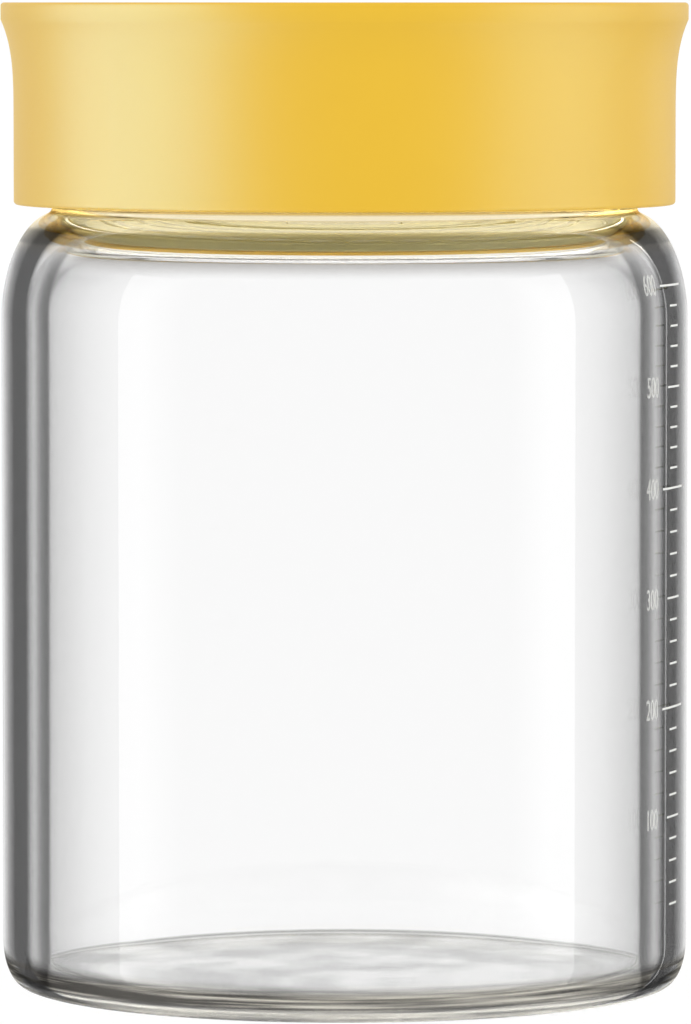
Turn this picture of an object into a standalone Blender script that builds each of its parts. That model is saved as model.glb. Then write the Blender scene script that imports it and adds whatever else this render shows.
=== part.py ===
"""A clear glass storage jar with a tall screw lid, at its real size.

Metres, +Z up. The origin is the centre of the base, on the surface that the jar stands on.
The front faces -Y, and the printed volume scale is on the side towards +X.
"""

import math

import bmesh
import bpy

MM = 0.001

# Shared clearances, and how finely round shapes are cut
GAP = 0.3 * MM
WELD = 0.001 * MM
ROUND_STEPS = 60

# Glass body; the joins are the angles where the shoulder's ellipses give way to the neck
BODY_RADIUS = 48.9 * MM
BODY_WALL = 3.4 * MM
FLOOR_THICKNESS = 1.4 * MM
FLOOR_CORNER = 0.8 * MM
BASE_CORNER_WIDTH = 3.0 * MM
BASE_CORNER_HEIGHT = 6.5 * MM
FOOT_RING_WIDTH = 7.4 * MM
PUNT_DEPTH = 0.3 * MM
PUNT_SLOPE_WIDTH = 3.0 * MM
SHOULDER_START = 94.9 * MM
SHOULDER_RISE = 15.5 * MM
SHOULDER_THICKNESS = 2.4 * MM
SHOULDER_JOIN = math.radians(78.8)
BORE_JOIN = math.radians(82.14)

# Threaded neck
NECK_RADIUS = 41.7 * MM
NECK_WALL = 3.4 * MM
NECK_HEIGHT = 18.0 * MM
NECK_FILLET = 0.8 * MM
FILLET_JOIN_SHARE = 0.6
RIM_ROUND = 1.2 * MM

# Thread: two starts, right-handed, so a positive turn of the lid about +Z raises it
THREAD_LEAD = 10.0 * MM
THREAD_STARTS = 2
THREAD_DEPTH = 1.1 * MM
THREAD_ROOT_WIDTH = 2.4 * MM
THREAD_CREST_WIDTH = 1.0 * MM
THREAD_SUNK = 0.5 * MM
THREAD_STEP = math.radians(10)
FADE_ANGLE = math.radians(30)
NECK_THREAD_DROP = 9.5 * MM
NECK_THREAD_TURN = math.radians(200)
CAP_THREAD_START = math.radians(20)
CAP_THREAD_TURN = math.radians(160)
THREAD_CLEARANCE = 0.4 * MM

# Seal in the lid
SEAL_THICKNESS = 1.6 * MM
SEAL_LAP = 0.3 * MM

# Threaded inner cap
CAP_WALL = 1.4 * MM
CAP_PLATE_THICKNESS = 1.6 * MM
CAP_PLUG_WALL = 1.2 * MM
CAP_PLUG_REACH = 0.8 * MM
CAP_FLANGE_THICKNESS = 1.4 * MM

# Outer shell of the lid
LID_LIFT_OFF_SHOULDER = 1.25 * MM
SHELL_WALL = 1.8 * MM
SHELL_TOP_THICKNESS = 2.0 * MM
SHELL_EDGE_ROUND = 0.5 * MM
SNAP_BEAD_DEPTH = 0.7 * MM
SNAP_BEAD_HEIGHT = 1.0 * MM
SNAP_BEAD_DROP = 0.7 * MM
RIB_HEIGHT = 5.8 * MM
RIB_THICKNESS = 1.2 * MM
RIB_REACH = 30.0 * MM
RIB_OVERRUN = 0.5 * MM
RIB_COUNT = 8
FLARE_WIDTH = 1.8 * MM
FLARE_HEIGHT = 14.5 * MM
FLARE_BAND = 2.4 * MM
FLARE_POWER = 3.6

# Printed scale: each mark stands for the height that 20 ml takes up in the straight bore
MARK_FIRST_HEIGHT = 13.05 * MM
MARK_PITCH = 3.095 * MM
MARK_UPPER_PITCH = 2.853 * MM
MARKS_AT_LOWER_PITCH = 20
MARK_TOP_SHARE = 0.4
MARK_VOLUME_ML = 20
MEDIUM_EVERY = 5
LONG_EVERY = 10
MARK_HEIGHT = 0.45 * MM
PRINT_THICKNESS = 0.2 * MM
PRINT_SUNK = 0.3 * MM
SHORT_MARK_LENGTH = 3.3 * MM
MEDIUM_MARK_LENGTH = 5.4 * MM
LONG_MARK_LENGTH = 9.2 * MM
MARK_CENTRE_ANGLE = math.radians(71.4)
MARK_SEGMENT = 5.0 * MM
NUMERAL_HEIGHT = 2.9 * MM
NUMERAL_WIDTH_SHARE = 0.6
NUMERAL_GAP = 1.7 * MM
NUMERAL_CAP_SHARE = 0.7
NUMERAL_RESOLUTION = 1

# Places worked out from the sizes above
BORE_RADIUS = BODY_RADIUS - BODY_WALL
NECK_BORE = NECK_RADIUS - NECK_WALL
FLOOR_TOP = PUNT_DEPTH + FLOOR_THICKNESS
JOIN_RADIUS = NECK_RADIUS + NECK_FILLET * FILLET_JOIN_SHARE
SHOULDER_TOP = SHOULDER_START + SHOULDER_RISE * math.sin(SHOULDER_JOIN)
SHOULDER_WIDTH = (BODY_RADIUS - JOIN_RADIUS) / (1 - math.cos(SHOULDER_JOIN))
BORE_WIDTH = (BORE_RADIUS - NECK_BORE) / (1 - math.cos(BORE_JOIN))
CREST_RADIUS = NECK_RADIUS + THREAD_DEPTH
CAP_BORE = CREST_RADIUS + THREAD_CLEARANCE
CAP_RADIUS = CAP_BORE + CAP_WALL
CAP_FLANGE_RADIUS = CAP_RADIUS + THREAD_CLEARANCE
SHELL_BORE = CAP_FLANGE_RADIUS + GAP
SKIRT_RADIUS = SHELL_BORE + SHELL_WALL
SEAL_INNER = NECK_BORE
SEAL_OUTER = CAP_BORE - GAP
PLUG_RADIUS = SEAL_INNER - SEAL_LAP
RIM_TOP = SHOULDER_TOP + NECK_HEIGHT
SEAL_BOTTOM = RIM_TOP + GAP
SEAL_TOP = SEAL_BOTTOM + SEAL_THICKNESS
CAP_PLATE_BOTTOM = SEAL_TOP + GAP
CAP_PLATE_TOP = CAP_PLATE_BOTTOM + CAP_PLATE_THICKNESS
RIB_BOTTOM = CAP_PLATE_TOP + GAP
SHELL_PLATE_BOTTOM = RIB_BOTTOM + RIB_HEIGHT
LID_TOP = SHELL_PLATE_BOTTOM + SHELL_TOP_THICKNESS
LID_BOTTOM = SHOULDER_TOP + LID_LIFT_OFF_SHOULDER
BEAD_BOTTOM = LID_BOTTOM + SNAP_BEAD_DROP
BEAD_TOP = BEAD_BOTTOM + SNAP_BEAD_HEIGHT
CAP_BOTTOM = BEAD_TOP + GAP


def clear_scene():
    """Removes every object, so that the script starts from an empty scene."""
    for obj in list(bpy.data.objects):
        bpy.data.objects.remove(obj, do_unlink=True)


def new_collection(name):
    collection = bpy.data.collections.new(name)
    bpy.context.scene.collection.children.link(collection)
    return collection


def principled(name, colour, roughness, alpha=1.0, transmission=0.0, ior=1.45):
    """A Principled material with one colour."""
    material = bpy.data.materials.new(name)
    material.use_nodes = True
    shader = material.node_tree.nodes["Principled BSDF"]
    shader.inputs["Base Color"].default_value = (*colour, 1.0)
    shader.inputs["Roughness"].default_value = roughness
    shader.inputs["Metallic"].default_value = 0.0
    shader.inputs["Alpha"].default_value = alpha
    shader.inputs["Transmission Weight"].default_value = transmission
    shader.inputs["IOR"].default_value = ior
    return material


def arc(centre, radii, start, end, steps):
    """Points on an ellipse about centre, from the start angle to the end angle, both included."""
    points = []
    for i in range(steps + 1):
        angle = start + (end - start) * i / steps
        points.append((centre[0] + radii[0] * math.cos(angle), centre[1] + radii[1] * math.sin(angle)))
    return points


def evaluated_mesh(obj):
    """The object's mesh with its modifiers applied."""
    bpy.context.view_layer.update()
    graph = bpy.context.evaluated_depsgraph_get()
    return bpy.data.meshes.new_from_object(obj.evaluated_get(graph))


def finish(obj, collection, material):
    """Applies the modifiers, shades the piece smooth with sharp edges, and gives it its material."""
    mesh = evaluated_mesh(obj)
    obj.modifiers.clear()
    obj.data = mesh
    mesh.shade_smooth()
    mesh.set_sharp_from_angle(angle=math.radians(30))
    mesh.materials.clear()
    mesh.materials.append(material)
    for holder in list(obj.users_collection):
        holder.objects.unlink(obj)
    collection.objects.link(obj)
    return obj


def turned(name, profile, collection, closed=False):
    """A solid turned about Z from a profile at +X whose outer side runs from top to bottom."""
    mesh = bpy.data.meshes.new(name)
    count = len(profile)
    edges = [(i, i + 1) for i in range(count - 1)]
    if closed:
        edges.append((count - 1, 0))
    mesh.from_pydata([(r, 0, z) for r, z in profile], edges, [])
    obj = bpy.data.objects.new(name, mesh)
    collection.objects.link(obj)
    screw = obj.modifiers.new("turn", "SCREW")
    screw.axis = "Z"
    screw.angle = math.tau
    screw.steps = ROUND_STEPS
    screw.render_steps = ROUND_STEPS
    screw.use_merge_vertices = True
    screw.merge_threshold = WELD
    return obj


def helper(obj):
    """Marks an object as one that only shapes another."""
    obj.hide_render = True
    obj.display_type = "WIRE"
    return obj


def join_solid(obj, other):
    """Adds a union with another solid to the object's modifiers."""
    union = obj.modifiers.new(other.name, "BOOLEAN")
    union.operation = "UNION"
    union.solver = "EXACT"
    union.object = other
    return obj


def thread_ridge(name, collection, wall_radius, outward, start_height, start_angle, turn):
    """One helical ridge on a round wall, rising with the angle and fading out at both ends.

    wall_radius is where the ridge grows from, and outward is 1 on an outer wall and -1 in a bore.
    """
    root = wall_radius - outward * THREAD_SUNK
    crest = wall_radius + outward * THREAD_DEPTH
    section = [
        (root, -THREAD_ROOT_WIDTH / 2),
        (wall_radius, -THREAD_ROOT_WIDTH / 2),
        (crest, -THREAD_CREST_WIDTH / 2),
        (crest, THREAD_CREST_WIDTH / 2),
        (wall_radius, THREAD_ROOT_WIDTH / 2),
        (root, THREAD_ROOT_WIDTH / 2),
    ]
    steps = math.ceil(turn / THREAD_STEP)
    rise = THREAD_LEAD / math.tau
    bm = bmesh.new()
    face = bm.faces.new([bm.verts.new((r, 0, z)) for r, z in section])
    bmesh.ops.spin(
        bm,
        geom=[face, *face.edges, *face.verts],
        cent=(0, 0, 0),
        axis=(0, 0, 1),
        dvec=(0, 0, rise * turn / steps),
        angle=turn,
        steps=steps,
    )
    for vertex in bm.verts:
        x, y, z = vertex.co
        radius = math.hypot(x, y)
        angle = math.atan2(y, x) % math.tau
        if angle > turn + THREAD_STEP / 2:
            angle = 0
        fade = min(1, angle / FADE_ANGLE, (turn - angle) / FADE_ANGLE)
        height = (radius - wall_radius) * outward
        if height > 0:
            radius = wall_radius + outward * (height * fade - THREAD_SUNK / 2 * (1 - fade))
        place = angle + start_angle
        vertex.co = (radius * math.cos(place), radius * math.sin(place), start_height + z)
    bmesh.ops.recalc_face_normals(bm, faces=bm.faces)
    mesh = bpy.data.meshes.new(name)
    bm.to_mesh(mesh)
    bm.free()
    obj = bpy.data.objects.new(name, mesh)
    collection.objects.link(obj)
    return helper(obj)


def thread_ridges(name, collection, wall_radius, outward, start_height, start_angle, turn):
    """The ridges of every start, spaced evenly round the wall."""
    ridges = []
    for start in range(THREAD_STARTS):
        angle = start_angle + math.tau * start / THREAD_STARTS
        ridge = thread_ridge(
            f"{name}_{start + 1}", collection, wall_radius, outward, start_height, angle, turn
        )
        ridges.append(ridge)
    return ridges


def outer_radius(height):
    """Radius of the glass's outside at a height on the straight wall or the shoulder."""
    if height <= SHOULDER_START:
        return BODY_RADIUS
    share = (height - SHOULDER_START) / SHOULDER_RISE
    return BODY_RADIUS - SHOULDER_WIDTH * (1 - math.sqrt(max(0, 1 - share * share)))


def jar_profile():
    """Half section of the glass, from the floor's centre up the inside and down the outside."""
    quarter = math.pi / 2
    points = [(0, FLOOR_TOP)]
    points += arc(
        (BORE_RADIUS - FLOOR_CORNER, FLOOR_TOP + FLOOR_CORNER),
        (FLOOR_CORNER, FLOOR_CORNER),
        -quarter,
        0,
        4,
    )
    points += arc(
        (BORE_RADIUS - BORE_WIDTH, SHOULDER_START),
        (BORE_WIDTH, SHOULDER_RISE - SHOULDER_THICKNESS),
        0,
        BORE_JOIN,
        6,
    )
    points += arc(
        (NECK_BORE + RIM_ROUND, RIM_TOP - RIM_ROUND), (RIM_ROUND, RIM_ROUND), math.pi, quarter, 3
    )
    points += arc(
        (NECK_RADIUS - RIM_ROUND, RIM_TOP - RIM_ROUND), (RIM_ROUND, RIM_ROUND), quarter, 0, 3
    )
    slope = math.atan2(
        SHOULDER_RISE * math.cos(SHOULDER_JOIN), SHOULDER_WIDTH * math.sin(SHOULDER_JOIN)
    )
    fillet_end = 3 * quarter - slope
    fillet_height = SHOULDER_TOP - NECK_FILLET * math.sin(fillet_end)
    fillet = arc(
        (NECK_RADIUS + NECK_FILLET, fillet_height),
        (NECK_FILLET, NECK_FILLET),
        math.pi,
        fillet_end,
        3,
    )
    points += fillet[:-1]
    points += arc(
        (BODY_RADIUS - SHOULDER_WIDTH, SHOULDER_START),
        (SHOULDER_WIDTH, SHOULDER_RISE),
        SHOULDER_JOIN,
        0,
        7,
    )
    points += arc(
        (BODY_RADIUS - BASE_CORNER_WIDTH, BASE_CORNER_HEIGHT),
        (BASE_CORNER_WIDTH, BASE_CORNER_HEIGHT),
        0,
        -quarter,
        5,
    )
    foot_inner = BODY_RADIUS - BASE_CORNER_WIDTH - FOOT_RING_WIDTH
    points += [(foot_inner, 0), (foot_inner - PUNT_SLOPE_WIDTH, PUNT_DEPTH), (0, PUNT_DEPTH)]
    return points


def make_glass_jar(parts, helpers, material):
    """The glass: wall, rounded shoulder and base, a neck with its thread, and the printed scale."""
    jar = turned("glass_jar", jar_profile(), helpers)
    ridges = thread_ridges(
        "neck_thread",
        helpers,
        NECK_RADIUS,
        1,
        RIM_TOP - NECK_THREAD_DROP,
        0,
        NECK_THREAD_TURN,
    )
    for ridge in ridges:
        join_solid(jar, ridge)
    join_solid(jar, make_print(helpers))
    return finish(jar, parts, material)


def make_inner_cap(parts, helpers, material):
    """The threaded insert: plate, plug that enters the mouth, skirt with thread, and snap flange."""
    profile = [
        (0, CAP_PLATE_TOP),
        (CAP_RADIUS, CAP_PLATE_TOP),
        (CAP_RADIUS, CAP_BOTTOM + CAP_FLANGE_THICKNESS),
        (CAP_FLANGE_RADIUS, CAP_BOTTOM + CAP_FLANGE_THICKNESS),
        (CAP_FLANGE_RADIUS, CAP_BOTTOM),
        (CAP_BORE, CAP_BOTTOM),
        (CAP_BORE, CAP_PLATE_BOTTOM),
        (PLUG_RADIUS, CAP_PLATE_BOTTOM),
        (PLUG_RADIUS, RIM_TOP - CAP_PLUG_REACH),
        (PLUG_RADIUS - CAP_PLUG_WALL, RIM_TOP - CAP_PLUG_REACH),
        (PLUG_RADIUS - CAP_PLUG_WALL, CAP_PLATE_BOTTOM),
        (0, CAP_PLATE_BOTTOM),
    ]
    cap = turned("lid_inner_cap", profile, helpers)
    lane = THREAD_LEAD / THREAD_STARTS / 2
    start_height = RIM_TOP - NECK_THREAD_DROP - lane + THREAD_LEAD * CAP_THREAD_START / math.tau
    ridges = thread_ridges(
        "cap_thread", helpers, CAP_BORE, -1, start_height, CAP_THREAD_START, CAP_THREAD_TURN
    )
    for ridge in ridges:
        join_solid(cap, ridge)
    return finish(cap, parts, material)


def flare(height):
    """How far the lid's side stands out at a height above the start of its flare."""
    return FLARE_WIDTH * (min(max(height, 0), FLARE_HEIGHT) / FLARE_HEIGHT) ** FLARE_POWER


def lid_side(base_radius, low, high, steps):
    """Points up the lid's flaring side at an even spacing, both ends included."""
    flare_start = LID_TOP - FLARE_BAND - FLARE_HEIGHT
    points = []
    for i in range(steps + 1):
        height = low + (high - low) * i / steps
        points.append((base_radius + flare(height - flare_start), height))
    return points


def shell_profile():
    """Half section of the lid's shell, from the top's centre down the outside and up the inside."""
    quarter = math.pi / 2
    round_radii = (SHELL_EDGE_ROUND, SHELL_EDGE_ROUND)
    top_radius = SKIRT_RADIUS + FLARE_WIDTH
    flare_start = LID_TOP - FLARE_BAND - FLARE_HEIGHT
    points = [(0, LID_TOP)]
    points += arc(
        (top_radius - SHELL_EDGE_ROUND, LID_TOP - SHELL_EDGE_ROUND), round_radii, quarter, 0, 2
    )
    points += lid_side(SKIRT_RADIUS, flare_start, LID_TOP - FLARE_BAND, 6)[::-1]
    points += arc(
        (SKIRT_RADIUS - SHELL_EDGE_ROUND, LID_BOTTOM + SHELL_EDGE_ROUND), round_radii, 0, -quarter, 2
    )
    bead_radius = SHELL_BORE - SNAP_BEAD_DEPTH
    points += [
        (SHELL_BORE, LID_BOTTOM),
        (SHELL_BORE, BEAD_BOTTOM),
        (bead_radius, (BEAD_BOTTOM + BEAD_TOP) / 2),
        (SHELL_BORE, BEAD_TOP),
    ]
    points += lid_side(SHELL_BORE, flare_start, SHELL_PLATE_BOTTOM, 5)
    points += [(0, SHELL_PLATE_BOTTOM)]
    return points


def make_lid_shell(parts, helpers, material):
    """The lid's outer shell, with ribs under its top that bear on the inner cap."""
    shell = turned("lid_shell", shell_profile(), helpers)
    length = SHELL_BORE + SHELL_WALL / 2 - RIB_REACH
    height = RIB_HEIGHT + RIB_OVERRUN
    for i in range(RIB_COUNT):
        bm = bmesh.new()
        bmesh.ops.create_cube(bm, size=1)
        bmesh.ops.scale(bm, vec=(length, RIB_THICKNESS, height), verts=bm.verts)
        middle = (RIB_REACH + length / 2, 0, RIB_BOTTOM + height / 2)
        bmesh.ops.translate(bm, vec=middle, verts=bm.verts)
        mesh = bpy.data.meshes.new(f"lid_rib_{i + 1}")
        bm.to_mesh(mesh)
        bm.free()
        rib = bpy.data.objects.new(mesh.name, mesh)
        rib.rotation_euler.z = math.tau * (i + 1 / 2) / RIB_COUNT
        helpers.objects.link(rib)
        join_solid(shell, helper(rib))
    return finish(shell, parts, material)


def make_seal_ring(parts, helpers, material):
    """The flat soft ring between the jar's rim and the inner cap."""
    profile = [
        (SEAL_INNER, SEAL_TOP),
        (SEAL_OUTER, SEAL_TOP),
        (SEAL_OUTER, SEAL_BOTTOM),
        (SEAL_INNER, SEAL_BOTTOM),
    ]
    seal = turned("seal_ring", profile, helpers, closed=True)
    return finish(seal, parts, material)


def mark_heights():
    """Heights of the scale's marks, from the lowest to the last that fits on the shoulder."""
    top = SHOULDER_START + SHOULDER_RISE * MARK_TOP_SHARE
    heights = []
    height = MARK_FIRST_HEIGHT
    while height <= top:
        heights.append(height)
        height += MARK_PITCH if len(heights) < MARKS_AT_LOWER_PITCH else MARK_UPPER_PITCH
    return heights


def wrap_on_glass(bm, height, start_angle):
    """Bends a flat print, drawn in XY and thick along Z, round the glass from an angle off the front."""
    for vertex in bm.verts:
        along, up, proud = vertex.co
        radius = outer_radius(height + up)
        angle = start_angle + along / radius
        reach = radius + (PRINT_THICKNESS - PRINT_SUNK) / 2 + proud
        vertex.co = (reach * math.sin(angle), -reach * math.cos(angle), height + up)


def add_to_print(whole, piece):
    """Moves one bent mark or numeral into the mesh that gathers them."""
    mesh = bpy.data.meshes.new("piece")
    piece.to_mesh(mesh)
    piece.free()
    whole.from_mesh(mesh)
    bpy.data.meshes.remove(mesh)


def mark_length(number):
    """Marks are short, longer at every fifth and longest at every tenth."""
    if number % LONG_EVERY == 0:
        return LONG_MARK_LENGTH
    if number % MEDIUM_EVERY == 0:
        return MEDIUM_MARK_LENGTH
    return SHORT_MARK_LENGTH


def add_mark(whole, number, height):
    """One mark: a thin bar that follows the glass."""
    length = mark_length(number)
    mark = bmesh.new()
    bmesh.ops.create_cube(mark, size=1)
    along = [edge for edge in mark.edges if abs(edge.verts[0].co.x - edge.verts[1].co.x) > WELD]
    bmesh.ops.subdivide_edges(mark, edges=along, cuts=math.ceil(length / MARK_SEGMENT) - 1)
    size = (length, MARK_HEIGHT, PRINT_THICKNESS + PRINT_SUNK)
    bmesh.ops.scale(mark, vec=size, verts=mark.verts)
    wrap_on_glass(mark, height, MARK_CENTRE_ANGLE)
    add_to_print(whole, mark)


def add_numeral(whole, number, height, helpers):
    """One plain numeral in millilitres, beside its mark on the side towards the front."""
    text = bpy.data.curves.new("numeral", "FONT")
    text.body = str(number * MARK_VOLUME_ML)
    text.size = NUMERAL_HEIGHT / NUMERAL_CAP_SHARE
    text.align_x = "RIGHT"
    text.align_y = "CENTER"
    text.extrude = (PRINT_THICKNESS + PRINT_SUNK) / 2
    text.resolution_u = NUMERAL_RESOLUTION
    obj = bpy.data.objects.new("numeral", text)
    helpers.objects.link(obj)
    flat = evaluated_mesh(obj)
    bpy.data.objects.remove(obj, do_unlink=True)
    numeral = bmesh.new()
    numeral.from_mesh(flat)
    bpy.data.meshes.remove(flat)
    bmesh.ops.remove_doubles(numeral, verts=numeral.verts, dist=WELD)
    bmesh.ops.scale(numeral, vec=(NUMERAL_WIDTH_SHARE, 1, 1), verts=numeral.verts)
    reach = LONG_MARK_LENGTH / 2 + NUMERAL_GAP
    wrap_on_glass(numeral, height, MARK_CENTRE_ANGLE - reach / outer_radius(height))
    add_to_print(whole, numeral)


def make_print(helpers):
    """The fired scale of marks and numerals, which stands a little proud of the glass."""
    whole = bmesh.new()
    for number, height in enumerate(mark_heights(), start=1):
        add_mark(whole, number, height)
        if number % MEDIUM_EVERY == 0:
            add_numeral(whole, number, height, helpers)
    mesh = bpy.data.meshes.new("scale_print")
    whole.to_mesh(mesh)
    whole.free()
    obj = bpy.data.objects.new("scale_print", mesh)
    helpers.objects.link(obj)
    return helper(obj)


def hang_lid_on_its_axis(parts, pieces):
    """Parents the pieces that turn with the lid to an empty on the jar's axis, at the rim."""
    axis = bpy.data.objects.new("lid_axis", None)
    axis.location = (0, 0, RIM_TOP)
    parts.objects.link(axis)
    bpy.context.view_layer.update()
    for piece in pieces:
        piece.parent = axis
        piece.matrix_parent_inverse = axis.matrix_world.inverted()


def main():
    clear_scene()
    parts = new_collection("glass_storage_jar")
    helpers = new_collection("helpers")
    glass = principled("clear_glass", (0.96, 0.98, 0.97), 0.02, 0.35, 1.0, 1.5)
    yellow = principled("yellow_polypropylene", (0.85, 0.52, 0.05), 0.45)
    pale = principled("pale_yellow_polypropylene", (0.62, 0.55, 0.26), 0.45)
    silicone = principled("translucent_silicone", (0.86, 0.85, 0.79), 0.5)
    make_glass_jar(parts, helpers, glass)
    seal = make_seal_ring(parts, helpers, silicone)
    cap = make_inner_cap(parts, helpers, pale)
    shell = make_lid_shell(parts, helpers, yellow)
    hang_lid_on_its_axis(parts, [seal, cap, shell])


main()
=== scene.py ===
"""The looks of a clear glass storage jar with a yellow screw lid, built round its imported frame.

Metres, +Z up, the jar standing at the origin with its front towards -Y. Every piece is modelled
in the place that the frame gives it, and rides on the frame's body of that place.
"""

from __future__ import annotations

import logging
import math
from collections.abc import Sequence
from dataclasses import dataclass, field
from enum import Enum

import bpy
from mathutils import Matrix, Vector

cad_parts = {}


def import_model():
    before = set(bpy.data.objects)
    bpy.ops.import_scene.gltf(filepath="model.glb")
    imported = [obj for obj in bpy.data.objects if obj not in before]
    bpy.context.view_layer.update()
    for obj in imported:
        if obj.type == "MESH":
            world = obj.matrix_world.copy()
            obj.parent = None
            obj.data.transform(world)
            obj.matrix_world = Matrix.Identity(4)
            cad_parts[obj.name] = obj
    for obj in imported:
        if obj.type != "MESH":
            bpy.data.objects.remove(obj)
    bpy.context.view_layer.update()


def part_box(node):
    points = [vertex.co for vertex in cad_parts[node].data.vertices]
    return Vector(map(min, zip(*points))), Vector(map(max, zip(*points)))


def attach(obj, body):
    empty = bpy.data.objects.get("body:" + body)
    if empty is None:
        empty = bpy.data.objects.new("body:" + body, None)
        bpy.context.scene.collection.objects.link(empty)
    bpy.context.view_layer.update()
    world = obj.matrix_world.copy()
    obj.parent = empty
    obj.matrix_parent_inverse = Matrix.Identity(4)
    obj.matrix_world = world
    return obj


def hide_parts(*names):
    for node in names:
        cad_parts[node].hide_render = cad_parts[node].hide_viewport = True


LOG = logging.getLogger("storage_jar")

MM = 0.001
WELD = 0.0005 * MM
ON_WALL = 10 * WELD
QUARTER = math.pi / 2
SMOOTH_EDGE = math.radians(40)
WHITE = "FFFFFF"
# The Layer Weight blend at which its facing is 1 minus the cosine of the angle.
EVEN = 0.5

Point = tuple[float, float]
Place = tuple[float, float, float]
Colour = tuple[float, float, float, float]
Material = bpy.types.Material
Node = bpy.types.Node
Piece = bpy.types.Object
Socket = bpy.types.NodeSocket
Tree = bpy.types.NodeTree


class GlassSide(Enum):
    """Which side of the jar's wall a face belongs to, by the number of its material."""

    OUTSIDE = 0
    INSIDE = 1


class WallSide(Enum):
    """Which side of a turned wall a thread stands on, as the sign of its growth."""

    OUTER = 1
    BORE = -1


class BrightSide(Enum):
    """Which side of a panel is the bright one, as the sign along its local X."""

    LEFT = -1
    RIGHT = 1


class MarkKind(Enum):
    """The three lengths of mark on the printed scale, in millimetres."""

    SHORT = 3.3
    MEDIUM = 5.4
    LONG = 9.2


def linear(hex_code: str) -> Colour:
    """Turns an sRGB hex colour to the linear colour that a socket takes.

    Args:
        hex_code: Six hex digits, red first.

    Returns:
        Red, green, blue and a full alpha.
    """
    channels = []
    for start in range(0, 6, 2):
        value = int(hex_code[start : start + 2], 16) / 255
        # These numbers are the sRGB standard's own.
        channels.append(value / 12.92 if value <= 0.04045 else ((value + 0.055) / 1.055) ** 2.4)
    return (channels[0], channels[1], channels[2], 1.0)


def add_node(
    tree: Tree, kind: str, inputs: dict[str | int, object] | None = None, **settings: object
) -> Node:
    """Adds a node with its settings, and sets or links its inputs.

    Args:
        tree: The node tree that takes the node.
        kind: The node's type name.
        inputs: Input name or number to a value, an output, or a node for its first output in use.
        settings: The node's own properties.

    Returns:
        The new node.
    """
    node = tree.nodes.new(kind)
    for name, value in settings.items():
        setattr(node, name, value)
    for key, value in (inputs or {}).items():
        if isinstance(value, Node):
            value = next(output for output in value.outputs if output.enabled)
        if isinstance(value, Socket):
            tree.links.new(value, node.inputs[key])
        else:
            node.inputs[key].default_value = value
    return node


def new_material(name: str) -> tuple[Material, Tree]:
    """Starts a material with an empty node tree.

    Args:
        name: The material's name.

    Returns:
        The material and its node tree.
    """
    material = bpy.data.materials.new(name)
    material.use_nodes = True
    material.node_tree.nodes.clear()
    return material, material.node_tree


def fill_ramp(node: Node, stops: Sequence[Point]) -> None:
    """Gives a colour ramp grey stops.

    Args:
        node: The colour ramp node.
        stops: Position and grey level of each stop, positions rising.
    """
    elements = node.color_ramp.elements
    while len(elements) > 1:
        elements.remove(elements[-1])
    for number, (position, grey) in enumerate(stops):
        element = elements[0] if number == 0 else elements.new(position)
        element.position = position
        element.color = (grey, grey, grey, 1.0)


def arc(centre: Point, radii: Point, start: float, end: float, steps: int) -> list[Point]:
    """Points on an ellipse, from one angle to another, both included.

    Args:
        centre: The ellipse's centre, as radius and height.
        radii: Its half widths along the radius and the height.
        start: First angle, in radians.
        end: Last angle, in radians.
        steps: Number of stretches.

    Returns:
        The points in order.
    """
    points = []
    for step in range(steps + 1):
        angle = start + (end - start) * step / steps
        points.append((centre[0] + radii[0] * math.cos(angle), centre[1] + radii[1] * math.sin(angle)))
    return points


def straight(start: Point, end: Point, steps: int) -> list[Point]:
    """Points evenly along a line, both ends included.

    Args:
        start: First point.
        end: Last point.
        steps: Number of stretches.

    Returns:
        The points in order.
    """
    return [
        (start[0] + (end[0] - start[0]) * i / steps, start[1] + (end[1] - start[1]) * i / steps)
        for i in range(steps + 1)
    ]


def without_repeats(points: Sequence[Point]) -> list[Point]:
    """Drops each point that lies on the one before it.

    Args:
        points: The points in order.

    Returns:
        The points that are left.
    """
    kept = [points[0]]
    for point in points[1:]:
        if math.dist(point, kept[-1]) > WELD:
            kept.append(point)
    return kept


def lathe(name: str, profile: Sequence[Point], steps: int) -> Piece:
    """Turns a profile about the vertical axis, as on a lathe.

    A plane is merged to one vertex, drawn out along the profile and spun.

    Args:
        name: The piece's name.
        profile: Radius and height of each point; an open profile ends on the axis at both ends.
        steps: Stretches round the axis.

    Returns:
        The turned mesh object, one closed surface with its faces pointing out.
    """
    points = without_repeats(profile)
    bpy.ops.object.select_all(action="DESELECT")
    bpy.ops.mesh.primitive_plane_add(size=MM, location=(0, 0, 0))
    piece = bpy.context.active_object
    piece.name = name
    piece.data.name = name
    bpy.ops.object.mode_set(mode="EDIT")
    bpy.ops.mesh.select_all(action="SELECT")
    bpy.ops.mesh.merge(type="CENTER")
    bpy.ops.transform.translate(value=(points[0][0], 0, points[0][1]))
    for before, after in zip(points, points[1:]):
        step = (after[0] - before[0], 0, after[1] - before[1])
        bpy.ops.mesh.extrude_region_move(TRANSFORM_OT_translate={"value": step})
    bpy.ops.mesh.select_all(action="SELECT")
    bpy.ops.mesh.spin(steps=steps, angle=math.tau, center=(0, 0, 0), axis=(0, 0, 1))
    bpy.ops.mesh.select_all(action="SELECT")
    bpy.ops.mesh.remove_doubles(threshold=WELD)
    bpy.ops.mesh.normals_make_consistent(inside=False)
    bpy.ops.object.mode_set(mode="OBJECT")
    return piece


def copy_of(piece: Piece) -> Piece:
    """Copies a piece.

    Args:
        piece: The piece.

    Returns:
        The copy, with a mesh of its own.
    """
    copy = piece.copy()
    copy.data = piece.data.copy()
    bpy.context.scene.collection.objects.link(copy)
    return copy


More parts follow.
